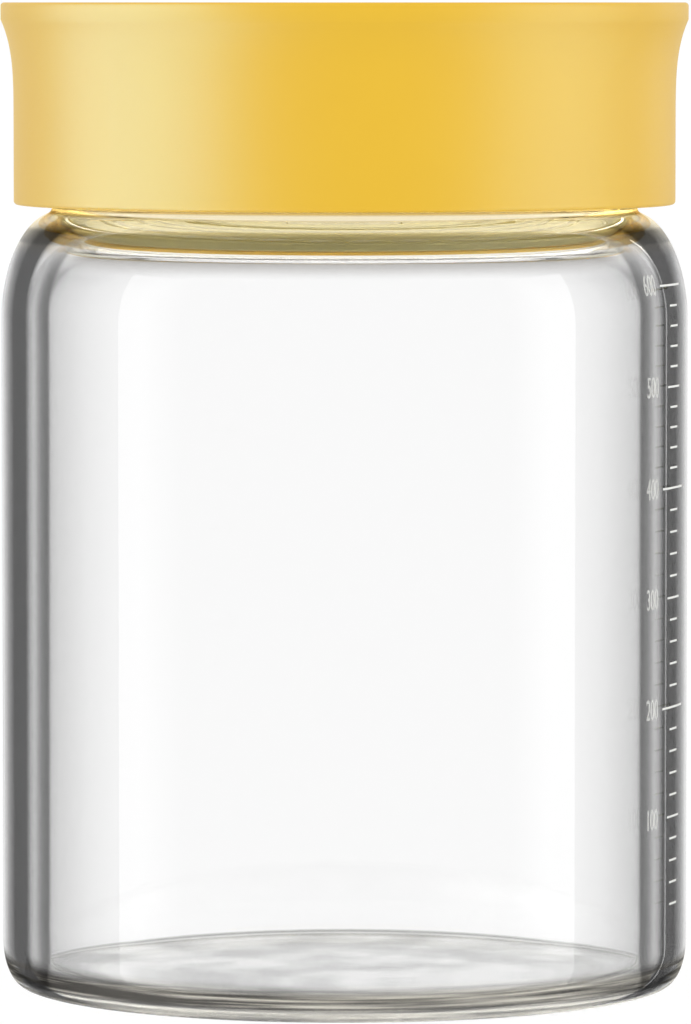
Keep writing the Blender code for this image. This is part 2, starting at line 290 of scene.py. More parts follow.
def dress(piece: Piece, material: Material, body: str) -> None:
    """Shades a finished piece smooth and gives it its finish, body and slot.

    Args:
        piece: The finished mesh object, at the origin.
        material: Its material, where it has none yet.
        body: The frame's body that it rides on.
    """
    bpy.ops.object.select_all(action="DESELECT")
    piece.select_set(True)
    bpy.context.view_layer.objects.active = piece
    bpy.ops.object.shade_smooth_by_angle(angle=SMOOTH_EDGE)
    if not piece.data.materials:
        piece.data.materials.append(material)
    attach(piece, body)


def smooth_step(value: float) -> float:
    """Eases a share from 0 to 1 with a level start and end."""
    share = min(max(value, 0.0), 1.0)
    return share * share * (3 - 2 * share)


@dataclass(frozen=True)
class ScrewThread:
    """A moulded right-handed thread with rounded ridges that fade out at both ends."""

    lead: float = 10.0 * MM
    starts: int = 2
    depth: float = 1.1 * MM
    root_width: float = 2.4 * MM
    crest_width: float = 0.9 * MM
    fade: float = math.radians(30)

    def height(self, angle: float, level: float, first: float, turn: float) -> float:
        """How far the thread stands off its wall at a place on it.

        Args:
            angle: Angle round the axis from the first start, in radians.
            level: Height above the middle of the ridge's lower end.
            first: Angle at which each ridge starts.
            turn: Angle that each ridge covers.

        Returns:
            The height off the wall.
        """
        tallest = 0.0
        flank = (self.root_width - self.crest_width) / 2
        for start in range(self.starts):
            along = (angle - first - math.tau * start / self.starts) % math.tau
            for reach in (along, along + math.tau):
                if reach > turn:
                    continue
                away = abs(level - self.lead * reach / math.tau)
                ridge = smooth_step((self.root_width / 2 - away) / flank)
                ends = smooth_step(min(reach, turn - reach) / self.fade)
                tallest = max(tallest, self.depth * ridge * ends)
        return tallest

    def raise_on(
        self, piece: Piece, radius: float, wall: WallSide, foot: float, first: float, turn: float
    ) -> None:
        """Raises the thread out of a turned wall that has enough rows of vertices.

        Args:
            piece: The turned piece.
            radius: The plain wall's radius.
            wall: Which side of the wall it stands on.
            foot: Height of the middle of each ridge's lower end.
            first: Angle at which the first ridge starts.
            turn: Angle that each ridge covers.
        """
        for vertex in piece.data.vertices:
            x, y, z = vertex.co
            if abs(math.hypot(x, y) - radius) > ON_WALL:
                continue
            grown = self.height(math.atan2(y, x), z - foot, first, turn)
            if grown > 0:
                scale = (radius + wall.value * grown) / radius
                vertex.co = (x * scale, y * scale, z)


@dataclass(frozen=True)
class Band:
    """A number that changes smoothly over one stretch of a value and back over another.

    A stretch runs from its first number to its second, which may be the lower one. The stretch
    that is the default for the fall is beyond any height or share, so the number stays full.
    """

    rise: Point
    fall: Point = (2.0, 3.0)
    before: float = 0.0
    full: float = 1.0
    after: float = 0.0

    @classmethod
    def line(cls, middle: float, width: float, full: float = 1.0) -> Band:
        """A thin line, full in its middle and gone a width away from it."""
        return cls((middle - width, middle), (middle, middle + width), full=full)

    def over(self, tree: Tree, value: Socket) -> Node:
        """Adds the nodes that follow a value.

        Args:
            tree: The material's node tree.
            value: The value, such as the height.

        Returns:
            The node that gives the number.
        """
        changes = ((self.rise, self.before, self.full), (self.fall, 0.0, self.full - self.after))
        rise, fall = (
            add_node(
                tree,
                "ShaderNodeMapRange",
                {"Value": value, "From Min": start, "From Max": end, "To Min": low, "To Max": high},
                interpolation_type="SMOOTHSTEP",
            )
            for (start, end), low, high in changes
        )
        return add_node(tree, "ShaderNodeMath", {0: rise, 1: fall}, operation="SUBTRACT")


@dataclass(frozen=True)
class Streaks:
    """Two tones spread by noise, as uneven glass shows, with changes along X or Z."""

    dark: str
    light: str
    sizes: Place
    detail: float
    spread: Point
    changes: tuple[tuple[str, Band], ...] = ()

    def build(self, tree: Tree) -> Node:
        """Adds the pattern to a material.

        Args:
            tree: The material's node tree.

        Returns:
            The node that gives its colour.
        """
        coordinates = add_node(tree, "ShaderNodeTexCoord").outputs["Object"]
        axes = add_node(tree, "ShaderNodeSeparateXYZ", {"Vector": coordinates}).outputs
        scaled = add_node(tree, "ShaderNodeVectorMath", {0: coordinates, 1: self.sizes}, operation="DIVIDE")
        noise = {"Vector": scaled, "Scale": 1.0, "Detail": self.detail}
        level = add_node(tree, "ShaderNodeTexNoise", noise)
        for axis, band in self.changes:
            change = band.over(tree, axes[axis])
            level = add_node(tree, "ShaderNodeMath", {0: level, 1: change}, operation="ADD")
        low, high = self.spread
        share = add_node(tree, "ShaderNodeMapRange", {"Value": level, "From Min": low, "From Max": high})
        tones = {"Factor": share, "A": linear(self.dark), "B": linear(self.light)}
        return add_node(tree, "ShaderNodeMix", tones, data_type="RGBA")


@dataclass(frozen=True)
class Patch:
    """Where a tint shows: over some heights, and only where the surface is seen at some slant."""

    heights: Band
    slants: Band | None = None


@dataclass(frozen=True)
class Tint:
    """A colour that light takes where it enters the glass, or where it leaves it."""

    colour: str | Streaks
    patches: tuple[Patch, ...]
    leaving: bool = False
    blend: str = "MULTIPLY"

    def lay_on(self, tree: Tree, plain: Node, height: Socket, slant: Socket) -> Node:
        """Adds the tint to a material.

        Args:
            tree: The material's node tree.
            plain: The colour so far.
            height: Height of the shaded point.
            slant: 0 where the surface is seen squarely, and 1 where it is seen edge on.

        Returns:
            The node that gives the tinted colour.
        """
        share: Node | float = 0.0
        for patch in self.patches:
            part = patch.heights.over(tree, height)
            if patch.slants:
                seen = patch.slants.over(tree, slant)
                part = add_node(tree, "ShaderNodeMath", {0: part, 1: seen}, operation="MULTIPLY")
            share = add_node(tree, "ShaderNodeMath", {0: share, 1: part}, operation="MAXIMUM")
        from_glass = add_node(tree, "ShaderNodeNewGeometry").outputs["Backfacing"]
        which = "MULTIPLY" if self.leaving else "SUBTRACT"
        used = add_node(tree, "ShaderNodeMath", {0: share, 1: from_glass}, operation=which, use_clamp=True)
        colour = linear(self.colour) if isinstance(self.colour, str) else self.colour.build(tree)
        both = {"Factor": used, "A": plain, "B": colour}
        return add_node(tree, "ShaderNodeMix", both, data_type="RGBA", blend_type=self.blend)


@dataclass(frozen=True)
class ClearGlass:
    """Soda-lime glass, blown in a mould and fire polished: clear, and dark where it is seen edge on.

    The darkening is painted shade in the glass's colour, standing for the dark surroundings
    beyond a white backdrop that a thick wall picks up. It follows how steeply the surface is
    seen, so the jar has it from every side. Its tones are pairs: the sine of the angle off the
    surface's normal, and the share of light left.
    """

    name: str = "clear_glass"
    ior: float = 1.5
    from_air: tuple[Point, ...] = ((0.0, 1.0),)
    from_glass: tuple[Point, ...] = ((0.0, 1.0),)
    # The tones are for upright walls, and fade over this range of tilt.
    tilted: Band = Band((0.4, 0.8))
    # A surface that is stippled in the mould looks frosted.
    stipple: Band | None = None
    # A mould leaves slow waves, which the eye meets as gently bent lines; the shoulder has few.
    wave_size: float = 14.0 * MM
    wave_depth: float = 0.006 * MM
    wave_detail: float = 2.0
    waves: Band = Band((96.0 * MM, 106.0 * MM), before=1.0, full=0.15)
    # Level faces and the collar add up along a line of sight, so they are all but white.
    level_tone: str = "FEFEFE"
    collar_tone: str = "FEFEFC"
    collar: Band = Band((108.4 * MM, 110.2 * MM))
    shadow_tone: str = "FBFCFB"

    def tints(self) -> list[Tint]:
        """The tints of this side of the glass, in the order in which they are laid on."""
        return []

    def slant_round_axis(self, tree: Tree) -> Node:
        """How steeply the wall is seen, by the angle round the jar alone.

        Seen from far above, the wall stays clear. So the steepness off the surface is set against
        how level the line of sight is.

        Args:
            tree: The material's node tree.

        Returns:
            The node that gives 0 where the wall is seen squarely, and 1 where it is edge on.
        """
        up = add_node(tree, "ShaderNodeCombineXYZ", {"Z": 1.0})
        dip = add_node(tree, "ShaderNodeLayerWeight", {"Blend": EVEN, "Normal": up})
        wall = add_node(tree, "ShaderNodeLayerWeight", {"Blend": EVEN})
        sine, cosine = (
            add_node(tree, "ShaderNodeMath", {0: 1.0, 1: node.outputs["Facing"]}, operation="SUBTRACT")
            for node in (dip, wall)
        )
        squared = add_node(tree, "ShaderNodeMath", {0: sine, 1: sine}, operation="MULTIPLY")
        rest = add_node(tree, "ShaderNodeMath", {0: 1.0, 1: squared}, operation="SUBTRACT")
        level = add_node(tree, "ShaderNodeMath", {0: rest}, operation="SQRT")
        share = add_node(tree, "ShaderNodeMath", {0: cosine, 1: level}, operation="DIVIDE")
        return add_node(tree, "ShaderNodeMath", {0: 1.0, 1: share}, operation="SUBTRACT")

    def painted_edge_shade(self, tree: Tree) -> Node:
        """A painted grey shade that follows how steeply the wall is seen, from the air and from the glass.

        Args:
            tree: The material's node tree.

        Returns:
            The node that gives the grey.
        """
        slant = self.slant_round_axis(tree)
        greys = []
        for tones in (self.from_air, self.from_glass):
            ramp = add_node(tree, "ShaderNodeValToRGB", {"Fac": slant})
            fill_ramp(ramp, [(1 - math.sqrt(1 - sine * sine), tone) for sine, tone in tones])
            greys.append(ramp)
        from_glass = add_node(tree, "ShaderNodeNewGeometry").outputs["Backfacing"]
        both = {"Factor": from_glass, "A": greys[0], "B": greys[1]}
        return add_node(tree, "ShaderNodeMix", both, data_type="RGBA")

    def build(self) -> Material:
        """Builds the material.

        Returns:
            The glass material for this side of the wall.
        """
        material, tree = new_material(self.name)
        coordinates = add_node(tree, "ShaderNodeTexCoord").outputs["Object"]
        height = add_node(tree, "ShaderNodeSeparateXYZ", {"Vector": coordinates}).outputs["Z"]
        slant = add_node(tree, "ShaderNodeLayerWeight", {"Blend": EVEN}).outputs["Facing"]
        normal = add_node(tree, "ShaderNodeNewGeometry").outputs["Normal"]
        rise = add_node(tree, "ShaderNodeSeparateXYZ", {"Vector": normal}).outputs["Z"]
        tilt = add_node(tree, "ShaderNodeMath", {0: rise}, operation="ABSOLUTE").outputs[0]
        # The glass's colour starts from the painted edge shade.
        tone = self.painted_edge_shade(tree)
        for band, value, colour in (
            (self.tilted, tilt, self.level_tone),
            (self.collar, height, self.collar_tone),
        ):
            both = {"Factor": band.over(tree, value), "A": tone, "B": linear(colour)}
            tone = add_node(tree, "ShaderNodeMix", both, data_type="RGBA")
        for tint in self.tints():
            tone = tint.lay_on(tree, tone, height, slant)
        noise = {"Vector": coordinates, "Scale": 1 / self.wave_size, "Detail": self.wave_detail}
        waves = add_node(tree, "ShaderNodeTexNoise", noise)
        relief = {"Height": waves, "Distance": self.wave_depth, "Strength": self.waves.over(tree, height)}
        bump = add_node(tree, "ShaderNodeBump", relief)
        rough = self.stipple.over(tree, height) if self.stipple else 0.0
        look = {"Color": tone, "Roughness": rough, "IOR": self.ior, "Normal": bump}
        glass = add_node(tree, "ShaderNodeBsdfGlass", look)
        # Light that falls on other things goes straight through, as sharp caustics would be noise.
        path = add_node(tree, "ShaderNodeLightPath").outputs
        rays = {0: path["Is Shadow Ray"], 1: path["Is Diffuse Ray"]}
        lets_light = add_node(tree, "ShaderNodeMath", rays, operation="MAXIMUM")
        clear = add_node(tree, "ShaderNodeBsdfTransparent", {"Color": linear(self.shadow_tone)})
        mix = add_node(tree, "ShaderNodeMixShader", {0: lets_light, 1: glass, 2: clear})
        add_node(tree, "ShaderNodeOutputMaterial", {"Surface": mix})
        return material


@dataclass(frozen=True)
class OuterGlass(ClearGlass):
    """The outside: the lid's painted reflection in the shoulder, painted shade under the lid and across the
    neck, and the streaky base corner.
    """

    name: str = "clear_glass_outside"
    # Painted edge shade, for light that enters the outside from the air.
    from_air: tuple[Point, ...] = (
        (0.9, 1.0), (0.907, 0.9), (0.9186, 0.65), (0.9244, 0.4), (0.931, 0.12),
        (0.965, 0.12), (0.982, 0.35), (0.995, 0.75), (1.0, 0.9),
    )
    tilted: Band = Band((0.62, 0.9))
    # The jar stands on a stippled ring.
    stipple: Band | None = Band((2.0 * MM, 0.8 * MM), full=0.25)
    # The lid hides the neck from here up, so its painted reflection and shade end here.
    lid_edge: Point = (111.5 * MM, 112.3 * MM)
    # A warm tint up the shoulder: painted reflection of the yellow lid.
    painted_lid_reflection: str = "FFF2D2"
    painted_lid_reflection_rise: Point = (103.8 * MM, 110.0 * MM)
    # A golden tint just under the lid's edge, reaching lower where the shoulder is seen aslant: painted
    # shade and reflection of the lid.
    painted_lid_shade: str = "DCC588"
    painted_lid_shade_rise: Point = (110.6 * MM, 111.0 * MM)
    aslant_rise: Point = (109.9 * MM, 110.3 * MM)
    aslant: Point = (0.4, 0.6)
    # A grey tint across the neck's lens: painted shade, for the dark underside of the lid seen in the
    # shoulder.
    lens: str = "D5D7DB"
    painted_neck_shade_rise: Point = (105.9 * MM, 106.4 * MM)
    painted_neck_shade_fall: Point = (107.9 * MM, 108.4 * MM)
    # The base's corner is tinted with level light and dark streaks, darker towards -X, with a
    # darker line and a lighter line along it.
    corner_streak_dark: str = "5C5A56"
    corner_streak_light: str = "DDD9CE"
    corner_streak_sizes: Place = (26.0 * MM, 26.0 * MM, 0.55 * MM)
    corner_streak_detail: float = 3.0
    corner_streak_spread: Point = (0.36, 0.68)
    corner_streaks_rise: Point = (6.0 * MM, 3.6 * MM)
    corner_streaks_fall: Point = (2.4 * MM, 1.4 * MM)
    corner_streaks_left: float = 0.8
    denser: Band = Band((-20.0 * MM, -38.0 * MM), full=-0.14)
    dark_line: Band = Band.line(2.96 * MM, 0.4 * MM, full=-0.1)
    light_line: Band = Band.line(1.3 * MM, 0.4 * MM, full=0.24)

    def tints(self) -> list[Tint]:
        """The tints of the outside, in the order in which they are laid on.

        Returns:
            The painted reflection of the lid, the painted shade under the lid and across the neck, and the
            streaks of the base.
        """
        changes = (("X", self.denser), ("Z", self.dark_line), ("Z", self.light_line))
        corner_streaks = Streaks(
            self.corner_streak_dark, self.corner_streak_light, self.corner_streak_sizes, self.corner_streak_detail, self.corner_streak_spread, changes
        )
        corner = Band(self.corner_streaks_rise, self.corner_streaks_fall, after=self.corner_streaks_left)
        straight_on = Patch(Band(self.painted_lid_shade_rise, self.lid_edge))
        sidelong = Patch(Band(self.aslant_rise, self.lid_edge), Band(self.aslant))
        return [
            Tint(self.painted_lid_reflection, (Patch(Band(self.painted_lid_reflection_rise, self.lid_edge)),)),
            Tint(self.painted_lid_shade, (straight_on, sidelong)),
            Tint(self.lens, (Patch(Band(self.painted_neck_shade_rise, self.painted_neck_shade_fall)),)),
            Tint(corner_streaks, (Patch(corner),), blend="DARKEN"),
        ]


@dataclass(frozen=True)
class InnerGlass(ClearGlass):
    """The inside: an uneven floor with painted shade at its edge, and a painted shaded line high in the
    shoulder.
    """

    name: str = "clear_glass_inside"
    # Painted edge shade, for light that enters the inside from the air and leaves it from the glass.
    from_air: tuple[Point, ...] = (
        (0.0, 0.95), (0.64, 0.95), (0.73, 0.9), (0.8, 0.83), (0.9, 0.62), (0.922, 0.5),
        (0.935, 0.2), (0.95, 0.26), (0.975, 0.5), (0.99, 0.38), (1.0, 0.2),
    )
    from_glass: tuple[Point, ...] = (
        (0.611, 1.0), (0.6163, 0.83), (0.6195, 0.36), (0.6247, 0.35),
        (0.633, 0.45), (0.6414, 0.69), (0.65, 0.97), (0.655, 1.0),
    )
    # The floor's glass set unevenly, so it looks cloudy when seen aslant.
    floor_dark: str = "DADADA"
    floor_light: str = "FCFCFC"
    floor_detail: float = 4.0
    floor_spread: Point = (0.38, 0.62)
    floor_rise: Point = (2.5 * MM, 1.9 * MM)
    floor_slant: Band = Band((0.5, 0.9), before=0.3)
    # A grey line where the floor meets the wall: painted shade.
    painted_floor_edge_line: Band = Band.line(1.94 * MM, 0.34 * MM)
    painted_floor_edge_grey: str = "B4B4B2"
    # A thin dark line above a band of grey high in the shoulder: painted shade, where light leaves the
    # glass and the wall is seen squarely.
    painted_shoulder_line: Band = Band.line(104.27 * MM, 0.16 * MM)
    shade: Band = Band((101.6 * MM, 104.0 * MM), (103.75 * MM, 103.95 * MM), full=0.7)
    painted_shoulder_grey: str = "8F8A84"
    squarely: Band = Band((0.25, 0.2))

    def tints(self) -> list[Tint]:
        """The tints of the inside, in the order in which they are laid on.

        Returns:
            The floor's clouds, the painted shade at its edge and the painted shade at the shoulder.
        """
        sizes = (self.wave_size, self.wave_size, self.wave_size)
        clouds = Streaks(self.floor_dark, self.floor_light, sizes, self.floor_detail, self.floor_spread)
        shoulder = (Patch(self.painted_shoulder_line, self.squarely), Patch(self.shade, self.squarely))
        return [
            Tint(clouds, (Patch(Band(self.floor_rise), self.floor_slant),)),
            Tint(self.painted_floor_edge_grey, (Patch(self.painted_floor_edge_line),)),
            Tint(self.painted_shoulder_grey, shoulder, leaving=True),
        ]


@dataclass(frozen=True)
class MouldedPlastic:
    """Injection-moulded polypropylene or silicone, which an eroded mould gives a soft matte sheen."""

    name: str
    colour: str
    shade: str
    roughness: float
    # A real eroded grain is about 0.05 mm, too fine to show, so it is drawn at 0.35 mm.
    grain_size: float = 0.35 * MM
    grain_depth: float = 0.006 * MM
    grain_detail: float = 2.0
    grain_strength: float = 0.6
    roughness_spread: float = 0.05
    # Pigment spreads unevenly in the melt, so the colour drifts over a couple of centimetres.
    mottle_size: float = 22.0 * MM
    mottle_detail: float = 3.0
    ior: float = 1.49
    gloss_tint: str = WHITE
    # A glow in the plastic's own colour: painted light, where it is set.
    painted_glow: float = 0.0

    def build(self) -> Material:
        """Builds the material.

        Returns:
            The plastic's material.
        """
        material, tree = new_material(self.name)
        coordinates = add_node(tree, "ShaderNodeTexCoord").outputs["Object"]
        mottle, grain = (
            add_node(
                tree, "ShaderNodeTexNoise", {"Vector": coordinates, "Scale": 1 / size, "Detail": detail}
            )
            for size, detail in (
                (self.mottle_size, self.mottle_detail),
                (self.grain_size, self.grain_detail),
            )
        )
        tones = {"Factor": mottle, "A": linear(self.colour), "B": linear(self.shade)}
        colour = add_node(tree, "ShaderNodeMix", tones, data_type="RGBA")
        limits = {
            "Value": grain,
            "To Min": self.roughness - self.roughness_spread,
            "To Max": self.roughness + self.roughness_spread,
        }
        rough = add_node(tree, "ShaderNodeMapRange", limits)
        relief = {"Height": grain, "Distance": self.grain_depth, "Strength": self.grain_strength}
        look = {
            "Base Color": colour,
            "Roughness": rough,
            "IOR": self.ior,
            "Specular Tint": linear(self.gloss_tint),
            "Emission Color": linear(self.colour),
            "Emission Strength": self.painted_glow,
            "Normal": add_node(tree, "ShaderNodeBump", relief),
        }
        shader = add_node(tree, "ShaderNodeBsdfPrincipled", look)
        add_node(tree, "ShaderNodeOutputMaterial", {"Surface": shader})
        return material


@dataclass(frozen=True)
class FiredEnamel:
    """White ceramic enamel, screen printed and fired onto the glass: satin and slightly uneven."""

    name: str = "fired_white_enamel"
    colour: str = "F4F4F0"
    thin: str = "DCDDDA"
    roughness: float = 0.38
    # The threads of a coarse printing screen, which leave the film a little thinner in places.
    mesh_pitch: float = 0.12 * MM
    mesh_detail: float = 1.0
    cover: float = 1.0

    def build(self) -> Material:
        """Builds the material.

        Returns:
            The enamel's material.
        """
        material, tree = new_material(self.name)
        coordinates = add_node(tree, "ShaderNodeTexCoord").outputs["Object"]
        threads = {"Vector": coordinates, "Scale": 1 / self.mesh_pitch, "Detail": self.mesh_detail}
        print_mesh = add_node(tree, "ShaderNodeTexNoise", threads)
        tones = {"Factor": print_mesh, "A": linear(self.colour), "B": linear(self.thin)}
        colour = add_node(tree, "ShaderNodeMix", tones, data_type="RGBA")
        look = {"Base Color": colour, "Roughness": self.roughness, "Alpha": self.cover}
        shader = add_node(tree, "ShaderNodeBsdfPrincipled", look)
        add_node(tree, "ShaderNodeOutputMaterial", {"Surface": shader})
        return material


@dataclass
class GlassJar:
    """The glass: straight wall, rounded shoulder and base edge, hollow foot, threaded neck."""

    radius: float
    rim_top: float
    wall: float = 3.4 * MM
    floor: float = 1.4 * MM
    floor_corner: float = 0.8 * MM
    base_corner: Point = (3.0 * MM, 6.5 * MM)
    foot_width: float = 7.4 * MM
    punt_depth: float = 0.3 * MM
    punt_slope: float = 3.0 * MM
    punt_steps: int = 8
    middle_share: float = 0.2
    shoulder_start: float = 94.9 * MM
    shoulder_rise: float = 15.5 * MM
    shoulder_tuck: float = 1.14 * MM
    shoulder_glass: float = 2.4 * MM
    neck_inset: float = 7.2 * MM
    neck_fillet: float = 0.8 * MM
    fillet_reach: float = 0.6
    rim_round: float = 1.2 * MM
    thread_drop: float = 9.5 * MM
    thread_turn: float = math.radians(200)
    level_share: float = 0.7
    steps: int = 256
    thread: ScrewThread = field(default_factory=ScrewThread)

    @property
    def neck_radius(self) -> float:
        """Radius of the neck's plain wall."""
        return self.radius - self.neck_inset

    @property
    def shoulder_width(self) -> float:
        """Half width of the ellipse that the shoulder follows."""
        return self.neck_inset + self.shoulder_tuck

    def outer_radius(self, height: float) -> float:
        """Radius of the outside on the straight wall or the shoulder.

        Args:
            height: Height above the base.

        Returns:
            The radius.
        """
        if height <= self.shoulder_start:
            return self.radius
        share = (height - self.shoulder_start) / self.shoulder_rise
        return self.radius - self.shoulder_width * (1 - math.sqrt(max(0.0, 1 - share * share)))

    def inside_profile(self) -> list[Point]:
        """Profile from the floor's centre up the inside to the rim.

        Returns:
            Radius and height of each point.
        """
        bore = self.radius - self.wall
        floor_top = self.punt_depth + self.floor
        corner = self.floor_corner
        width = self.shoulder_width
        points = [(0.0, floor_top)]
        middle = (bore * self.middle_share, floor_top)
        points += straight(middle, (bore - corner, floor_top), steps=12)
        points += arc((bore - corner, floor_top + corner), (corner, corner), -QUARTER, 0, steps=10)
        points += straight(points[-1], (bore, self.shoulder_start), steps=12)
        shoulder_radii = (width, self.shoulder_rise - self.shoulder_glass)
        top = math.acos(self.shoulder_tuck / width)
        points += arc((bore - width, self.shoulder_start), shoulder_radii, 0, top, steps=20)
        neck_bore = self.neck_radius - self.wall
        centre = (neck_bore + self.rim_round, self.rim_top - self.rim_round)
        points += arc(centre, (self.rim_round, self.rim_round), math.pi, QUARTER, steps=6)
        return points

    def outside_profile(self) -> list[Point]:
        """Profile from the rim down the outside to the centre of the base.

        Returns:
            Radius and height of each point, with enough rows on the neck for its thread.
        """
        centre = (self.neck_radius - self.rim_round, self.rim_top - self.rim_round)
        points = arc(centre, (self.rim_round, self.rim_round), QUARTER, 0, steps=6)
        width = self.shoulder_width
        join = math.acos((self.shoulder_tuck + self.neck_fillet * self.fillet_reach) / width)
        join_height = self.shoulder_start + self.shoulder_rise * math.sin(join)
        slope = math.atan2(self.shoulder_rise * math.cos(join), width * math.sin(join))
        end = 3 * QUARTER - slope
        fillet_height = join_height - self.neck_fillet * math.sin(end)
        points += straight(points[-1], (self.neck_radius, fillet_height), steps=56)
        centre = (self.neck_radius + self.neck_fillet, fillet_height)
        points += arc(centre, (self.neck_fillet, self.neck_fillet), math.pi, end, steps=5)[:-1]
        centre = (self.radius - width, self.shoulder_start)
        points += arc(centre, (width, self.shoulder_rise), join, 0, steps=24)
        corner_width, corner_height = self.base_corner
        points += straight(points[-1], (self.radius, corner_height), steps=12)
        centre = (self.radius - corner_width, corner_height)
        points += arc(centre, self.base_corner, 0, -QUARTER, steps=14)
        foot_inner = self.radius - corner_width - self.foot_width
        points += straight(points[-1], (foot_inner, 0.0), steps=3)
        for step in range(1, self.punt_steps + 1):
            share = step / self.punt_steps
            points.append((foot_inner - self.punt_slope * share, self.punt_depth * smooth_step(share)))
        middle = (self.radius * self.middle_share, self.punt_depth)
        points += straight(points[-1], middle, steps=8)
        points.append((0.0, self.punt_depth))
        return points

    def side_of(self, face: bpy.types.MeshPolygon) -> GlassSide:
        """Tells which side of the glass a face is on.

        Args:
            face: A face of the turned glass.

        Returns:
            Its side: above the floor's middle near the base, and else towards the axis, is inside.
        """
        if abs(face.normal.z) > self.level_share and face.center.z < self.base_corner[1]:
            is_inside = face.center.z > self.punt_depth + self.floor / 2
        else:
            is_inside = Vector((face.center.x, face.center.y, 0)).dot(face.normal) < 0
        return GlassSide.INSIDE if is_inside else GlassSide.OUTSIDE

    def build(self) -> Piece:
        """Models and dresses the glass.

        Returns:
            The jar's glass.
        """
        glass = lathe("jar_glass", self.inside_profile() + self.outside_profile(), self.steps)
        foot = self.rim_top - self.thread_drop
        self.thread.raise_on(glass, self.neck_radius, WallSide.OUTER, foot, 0.0, self.thread_turn)
        outside = OuterGlass().build()
        glass.data.materials.append(outside)
        glass.data.materials.append(InnerGlass().build())
        for face in glass.data.polygons:
            face.material_index = self.side_of(face).value
        dress(glass, outside, "jar")
        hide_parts("glass_jar")
        return glass


@dataclass
class PrintedScale:
    """White marks every 20 ml up the glass, with plain numerals at every fifth."""

    jar: GlassJar
    first_height: float = 13.05 * MM
    pitch: float = 3.095 * MM
    upper_pitch: float = 2.853 * MM
    lower_marks: int = 20
    marks: int = 30
    medium_every: int = 5
    long_every: int = 10
    volume: int = 20
    centre_angle: float = math.radians(71.4)
    mark_height: float = 0.28 * MM
    mark_cuts: int = 6
    numeral_height: float = 2.9 * MM
    numeral_narrowing: float = 0.6
    numeral_gap: float = 1.7 * MM
    digit_share: float = 0.7
    thin_cover: float = 0.35
    proud: float = 0.05 * MM
    sunk: float = 0.03 * MM

    def heights(self) -> list[float]:
        """Works out the height of each mark.

        Returns:
            The heights, lowest first.
        """
        heights = [self.first_height]
        for number in range(1, self.marks):
            step = self.pitch if number < self.lower_marks else self.upper_pitch
            heights.append(heights[-1] + step)
        return heights

    def kind(self, number: int) -> MarkKind:
        """Tells the kind of a mark.

        Args:
            number: The mark's number, counted from 1 at the lowest.

        Returns:
            Its kind.
        """
        if number % self.long_every == 0:
            return MarkKind.LONG
        return MarkKind.MEDIUM if number % self.medium_every == 0 else MarkKind.SHORT

    def wrap(self, piece: Piece, height: float, angle: float) -> None:
        """Bends a flat print round the glass.

        Args:
            piece: A mesh drawn in X and Y and thick along Z.
            height: Height of its line of origin on the jar.
            angle: Angle off the front of its origin, towards +X.
        """
        for vertex in piece.data.vertices:
            along, up, off = vertex.co
            radius = self.jar.outer_radius(height + up)
            place = angle + along / radius
            reach = radius + off
            vertex.co = (reach * math.sin(place), -reach * math.cos(place), height + up)

    def flat_mark(self, kind: MarkKind) -> Piece:
        """Models one mark as a thin flat bar with enough vertices to bend.

        Args:
            kind: The mark's kind.

        Returns:
            The bar, its middle at the origin.
        """
        bpy.ops.object.select_all(action="DESELECT")
        bpy.ops.mesh.primitive_cube_add(size=1.0)
        bar = bpy.context.active_object
        bar.scale = (kind.value * MM, self.mark_height, self.proud + self.sunk)
        bar.location.z = (self.proud - self.sunk) / 2
        bpy.ops.object.transform_apply(location=True, rotation=True, scale=True)
        bpy.ops.object.mode_set(mode="EDIT")
        bpy.ops.mesh.select_all(action="SELECT")
        bpy.ops.mesh.subdivide(number_cuts=self.mark_cuts)
        bpy.ops.object.mode_set(mode="OBJECT")
        return bar

    def add_numeral(self, number: int, height: float) -> Piece:
        """Models one plain numeral beside its mark.

        Args:
            number: The mark's number.
            height: Its height on the jar.

        Returns:
            The numeral.
        """
        bpy.ops.object.select_all(action="DESELECT")
        bpy.ops.object.text_add(location=(0, 0, 0))
        numeral = bpy.context.active_object
        numeral.data.body = str(number * self.volume)
        numeral.data.size = self.numeral_height / self.digit_share
        numeral.data.align_x = "RIGHT"
        numeral.data.align_y = "CENTER"
        numeral.data.extrude = (self.proud + self.sunk) / 2
        bpy.ops.object.convert(target="MESH")
        numeral.scale.x = self.numeral_narrowing
        numeral.location.z = (self.proud - self.sunk) / 2
        bpy.ops.object.transform_apply(location=True, rotation=True, scale=True)
        bpy.ops.object.mode_set(mode="EDIT")
        bpy.ops.mesh.select_all(action="SELECT")
        bpy.ops.mesh.remove_doubles(threshold=WELD)
        bpy.ops.object.mode_set(mode="OBJECT")
        reach = MarkKind.LONG.value * MM / 2 + self.numeral_gap
        self.wrap(numeral, height, self.centre_angle - reach / self.jar.outer_radius(height))
        return numeral

    def gather(self, name: str, pieces: list[Piece]) -> Piece:
        """Joins pieces into one object.

        Args:
            name: The joined object's name.
            pieces: What is joined.

        Returns:
            The joined object.
        """
        bpy.ops.object.select_all(action="DESELECT")
        for piece in pieces:
            piece.select_set(True)
        bpy.context.view_layer.objects.active = pieces[0]
        bpy.ops.object.join()
        whole = bpy.context.active_object
        whole.name = name
        whole.data.name = name
        return whole

    def build(self) -> list[Piece]:
        """Models and dresses the marks and the numerals.

        Returns:
            The marks and the numerals, one object each.
        """
        bars = {kind: self.flat_mark(kind) for kind in MarkKind}
        marks = []
        numerals = []
        for number, height in enumerate(self.heights(), start=1):
            marks.append(copy_of(bars[self.kind(number)]))
            self.wrap(marks[-1], height, self.centre_angle)
            if self.kind(number) is not MarkKind.SHORT:
                numerals.append(self.add_numeral(number, height))
        for bar in bars.values():
            bpy.data.objects.remove(bar, do_unlink=True)
        whole = [self.gather("scale_marks", marks), self.gather("scale_numerals", numerals)]
        finishes = [FiredEnamel(), FiredEnamel("thin_white_enamel", cover=self.thin_cover)]
        for piece, finish in zip(whole, finishes):
            dress(piece, finish.build(), "jar")
        return whole


